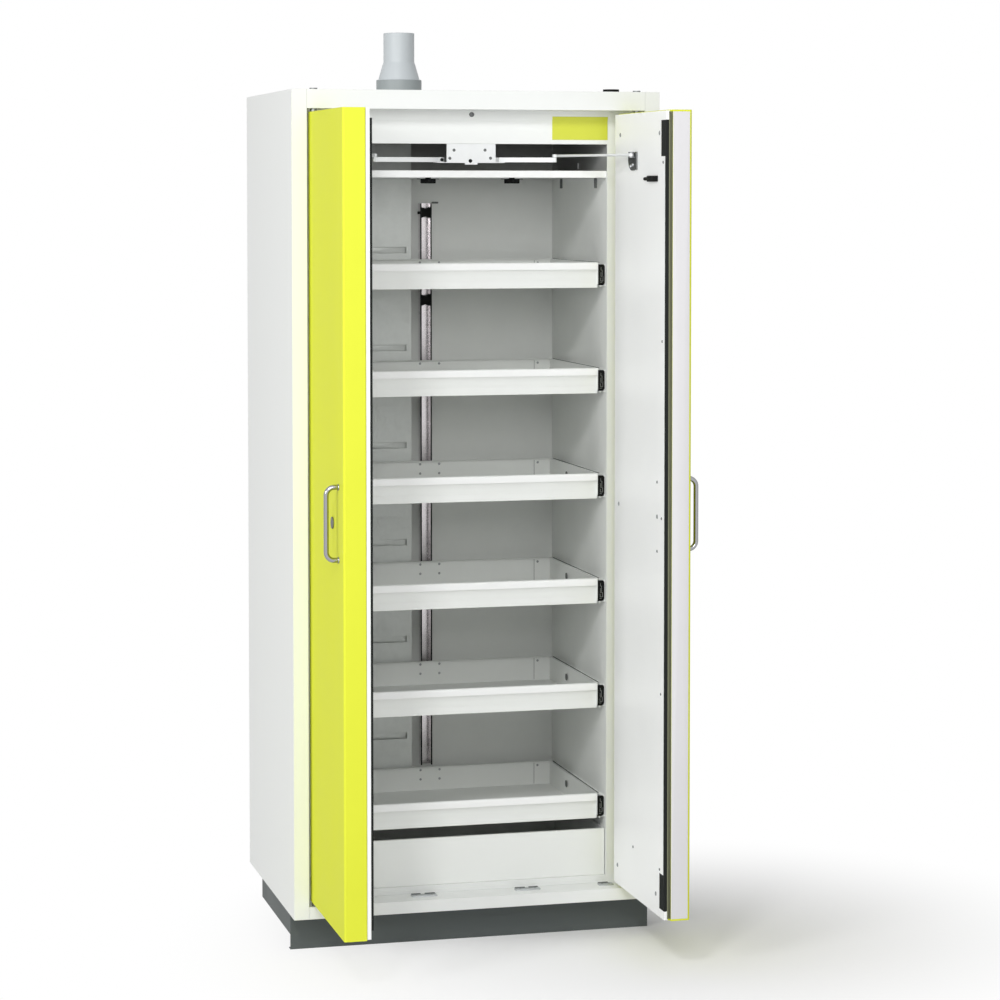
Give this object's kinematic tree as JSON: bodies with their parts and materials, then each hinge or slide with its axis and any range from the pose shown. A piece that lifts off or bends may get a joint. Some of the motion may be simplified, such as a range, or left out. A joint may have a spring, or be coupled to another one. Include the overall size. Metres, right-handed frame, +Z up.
{
  "type": "fireproof safety cabinet",
  "caption": "Tall fire-resistant safety cabinet with two wing doors on pin hinges, sump drawers on telescopic slides, rear exhaust duct, roof spigot and plinth.",
  "frame": {"origin": "on the floor under the middle of the casing, on the underside of the plinth's cross rail", "axes": "+X to the right seen from the front, +Y into the cabinet, +Z up"},
  "size_m": [0.864, 0.9675, 2.1233],
  "materials": {
    "casing_white": "light satin powder coat",
    "drawer_white": "satin powder coat",
    "lining_grey": "smooth coated board",
    "board": "pressed mineral board",
    "door_yellow": "satin powder coat over a filled leaf",
    "plinth_dark": "matt dark grey coat",
    "seal_black": "matt",
    "steel_zinc": "zinc plated",
    "chrome": "polished",
    "pin_steel": "turned",
    "spigot_grey": "moulded, slight sheen",
    "plastic_black": "moulded, matt"
  },
  "bodies": {
    "casing": {"base_panel": "casing_white", "back_panel": "casing_white", "roof_panel": "casing_white", "header": "casing_white", "front_frame": "casing_white", "ceiling_tray": "casing_white", "closer_plate": "casing_white", "left_side_panel": "casing_white", "right_side_panel": "casing_white", "sump_tray": "drawer_white", "rear_lining": "lining_grey", "floor_lining": "lining_grey", "ceiling_lining": "lining_grey", "left_lining": "lining_grey", "right_lining": "lining_grey", "exhaust_duct": "lining_grey", "insulation": "board", "plinth_front": "plinth_dark", "plinth_frame": "plinth_dark", "interlock_rail": "steel_zinc", "left_hinge_pin_top": "pin_steel", "left_hinge_pin_bottom": "pin_steel", "right_hinge_pin_top": "pin_steel", "right_hinge_pin_bottom": "pin_steel", "exhaust_spigot": "spigot_grey", "air_inlet_cap": "plastic_black", "interlock_block": "plastic_black"},
    "left_door": {"left_door_leaf": "door_yellow", "left_door_panel": "casing_white", "left_door_seal": "seal_black", "left_door_handle": "chrome", "left_closer_bracket": "chrome"},
    "left_lever": {"left_closer_lever": "steel_zinc"},
    "left_rod": {"left_closer_rod": "steel_zinc"},
    "right_door": {"right_door_leaf": "door_yellow", "right_door_panel": "casing_white", "right_door_seal": "seal_black", "right_door_handle": "chrome", "right_closer_bracket": "chrome"},
    "right_lever": {"right_closer_lever": "steel_zinc"},
    "right_rod": {"right_closer_rod": "steel_zinc"},
    "lock": {"lock_cylinder": "chrome"},
    "drawer_1": {"drawer_1": "drawer_white"},
    "drawer_1_slide_members": {"drawer_1_left_slide": "steel_zinc", "drawer_1_right_slide": "steel_zinc"},
    "drawer_2": {"drawer_2": "drawer_white"},
    "drawer_2_slide_members": {"drawer_2_left_slide": "steel_zinc", "drawer_2_right_slide": "steel_zinc"},
    "drawer_3": {"drawer_3": "drawer_white"},
    "drawer_3_slide_members": {"drawer_3_left_slide": "steel_zinc", "drawer_3_right_slide": "steel_zinc"},
    "drawer_4": {"drawer_4": "drawer_white"},
    "drawer_4_slide_members": {"drawer_4_left_slide": "steel_zinc", "drawer_4_right_slide": "steel_zinc"},
    "drawer_5": {"drawer_5": "drawer_white"},
    "drawer_5_slide_members": {"drawer_5_left_slide": "steel_zinc", "drawer_5_right_slide": "steel_zinc"},
    "drawer_6": {"drawer_6": "drawer_white"},
    "drawer_6_slide_members": {"drawer_6_left_slide": "steel_zinc", "drawer_6_right_slide": "steel_zinc"}
  },
  "joints": [
    {"name": "left_door_hinge", "type": "hinge", "parent": "casing", "child": "left_door", "pos_m": [-0.38, -0.289, 1], "axis": [0, 0, -1], "range_deg": [-90, 0]},
    {"name": "left_lever_pivot", "type": "hinge", "parent": "casing", "child": "left_lever", "pos_m": [-0.065, -0.205, 1.811], "axis": [0, 0, -1], "range_deg": [0, 88.1]},
    {"name": "left_rod_pivot", "type": "hinge", "parent": "left_door", "child": "left_rod", "pos_m": [-0.321, -0.439, 1.8208], "axis": [0, 0, -1], "range_deg": [0, 102.1]},
    {"name": "right_door_hinge", "type": "hinge", "parent": "casing", "child": "right_door", "pos_m": [0.38, -0.289, 1], "axis": [0, 0, 1], "range_deg": [-90, 0]},
    {"name": "right_lever_pivot", "type": "hinge", "parent": "casing", "child": "right_lever", "pos_m": [0.065, -0.205, 1.811], "axis": [0, 0, 1], "range_deg": [0, 106.4]},
    {"name": "right_rod_pivot", "type": "hinge", "parent": "right_door", "child": "right_rod", "pos_m": [0.321, -0.439, 1.8208], "axis": [0, 0, 1], "range_deg": [0, 108.4]},
    {"name": "lock_turn", "type": "hinge", "parent": "left_door", "child": "lock", "pos_m": [-0.39, -0.5515, 1.018], "axis": [-1, 0, 0], "range_deg": [0, 90]},
    {"name": "drawer_1_pull", "type": "slide", "parent": "casing", "child": "drawer_1", "axis": [0, -1, 0], "range_m": [0, 0.38]},
    {"name": "drawer_1_slide_run", "type": "slide", "parent": "casing", "child": "drawer_1_slide_members", "axis": [0, -1, 0], "range_m": [0, 0.19]},
    {"name": "drawer_2_pull", "type": "slide", "parent": "casing", "child": "drawer_2", "axis": [0, -1, 0], "range_m": [0, 0.38]},
    {"name": "drawer_2_slide_run", "type": "slide", "parent": "casing", "child": "drawer_2_slide_members", "axis": [0, -1, 0], "range_m": [0, 0.19]},
    {"name": "drawer_3_pull", "type": "slide", "parent": "casing", "child": "drawer_3", "axis": [0, -1, 0], "range_m": [0, 0.38]},
    {"name": "drawer_3_slide_run", "type": "slide", "parent": "casing", "child": "drawer_3_slide_members", "axis": [0, -1, 0], "range_m": [0, 0.19]},
    {"name": "drawer_4_pull", "type": "slide", "parent": "casing", "child": "drawer_4", "axis": [0, -1, 0], "range_m": [0, 0.38]},
    {"name": "drawer_4_slide_run", "type": "slide", "parent": "casing", "child": "drawer_4_slide_members", "axis": [0, -1, 0], "range_m": [0, 0.19]},
    {"name": "drawer_5_pull", "type": "slide", "parent": "casing", "child": "drawer_5", "axis": [0, -1, 0], "range_m": [0, 0.38]},
    {"name": "drawer_5_slide_run", "type": "slide", "parent": "casing", "child": "drawer_5_slide_members", "axis": [0, -1, 0], "range_m": [0, 0.19]},
    {"name": "drawer_6_pull", "type": "slide", "parent": "casing", "child": "drawer_6", "axis": [0, -1, 0], "range_m": [0, 0.38]},
    {"name": "drawer_6_slide_run", "type": "slide", "parent": "casing", "child": "drawer_6_slide_members", "axis": [0, -1, 0], "range_m": [0, 0.19]}
  ],
  "couplings": [
    {"joint": "left_lever_pivot", "follows": "left_door_hinge", "ratio": -0.97834},
    {"joint": "left_rod_pivot", "follows": "left_door_hinge", "ratio": -1.1341},
    {"joint": "right_lever_pivot", "follows": "right_door_hinge", "ratio": -1.1818},
    {"joint": "right_rod_pivot", "follows": "right_door_hinge", "ratio": -1.204},
    {"joint": "drawer_1_slide_run", "follows": "drawer_1_pull", "ratio": 0.5},
    {"joint": "drawer_2_slide_run", "follows": "drawer_2_pull", "ratio": 0.5},
    {"joint": "drawer_3_slide_run", "follows": "drawer_3_pull", "ratio": 0.5},
    {"joint": "drawer_4_slide_run", "follows": "drawer_4_pull", "ratio": 0.5},
    {"joint": "drawer_5_slide_run", "follows": "drawer_5_pull", "ratio": 0.5},
    {"joint": "drawer_6_slide_run", "follows": "drawer_6_pull", "ratio": 0.5}
  ]
}
